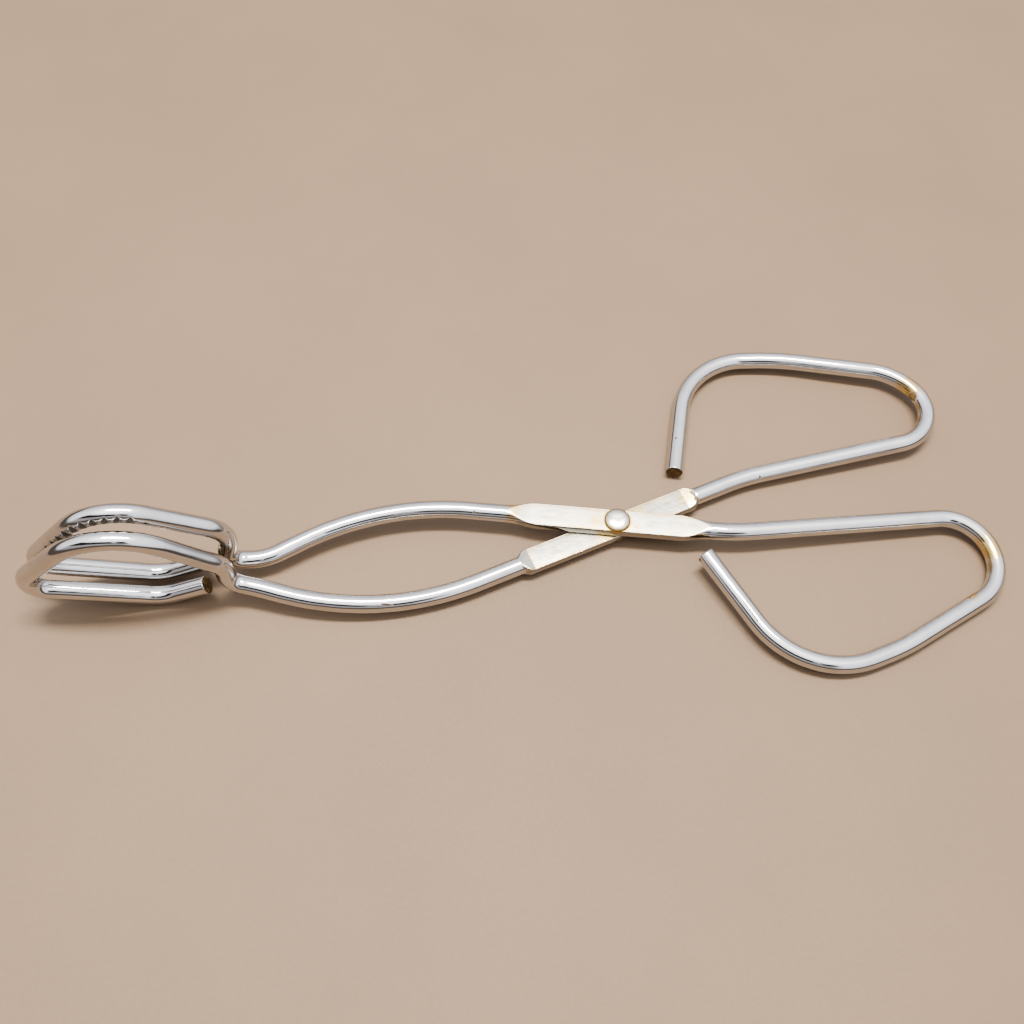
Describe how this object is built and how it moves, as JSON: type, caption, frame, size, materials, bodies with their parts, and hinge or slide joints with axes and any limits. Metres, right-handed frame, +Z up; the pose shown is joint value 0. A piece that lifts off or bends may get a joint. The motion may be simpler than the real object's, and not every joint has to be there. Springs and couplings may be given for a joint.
{
  "type": "crucible tongs",
  "caption": "Scissor-type crucible tongs of bent plated wire with rounded hoop jaws, flats forged at the riveted crossing and open triangular finger loops.",
  "frame": {"origin": "on the bench, under the middle of the closed tongs' bounding box", "axes": "+Z up off the bench, parallel to the rivet; -X towards the jaws, +X towards the finger loops"},
  "size_m": [0.2464, 0.099, 0.0363],
  "materials": {
    "upper_plating": "bright nickel plating, fine scratches, satin on the forged flat",
    "lower_plating": "bright nickel plating with rust at the handle bend, satin on the forged flat",
    "rivet_steel": "dull plated steel with yellow tarnish round its rim"
  },
  "bodies": {
    "lower": {"lower_arm": "lower_plating", "rivet": "rivet_steel"},
    "upper": {"upper_arm": "upper_plating"}
  },
  "joints": [
    {"name": "tongs_pivot", "type": "hinge", "parent": "lower", "child": "upper", "pos_m": [0.02422, -0.00067, 0.006], "axis": [0, 0, -1], "range_deg": [0, 50]}
  ]
}
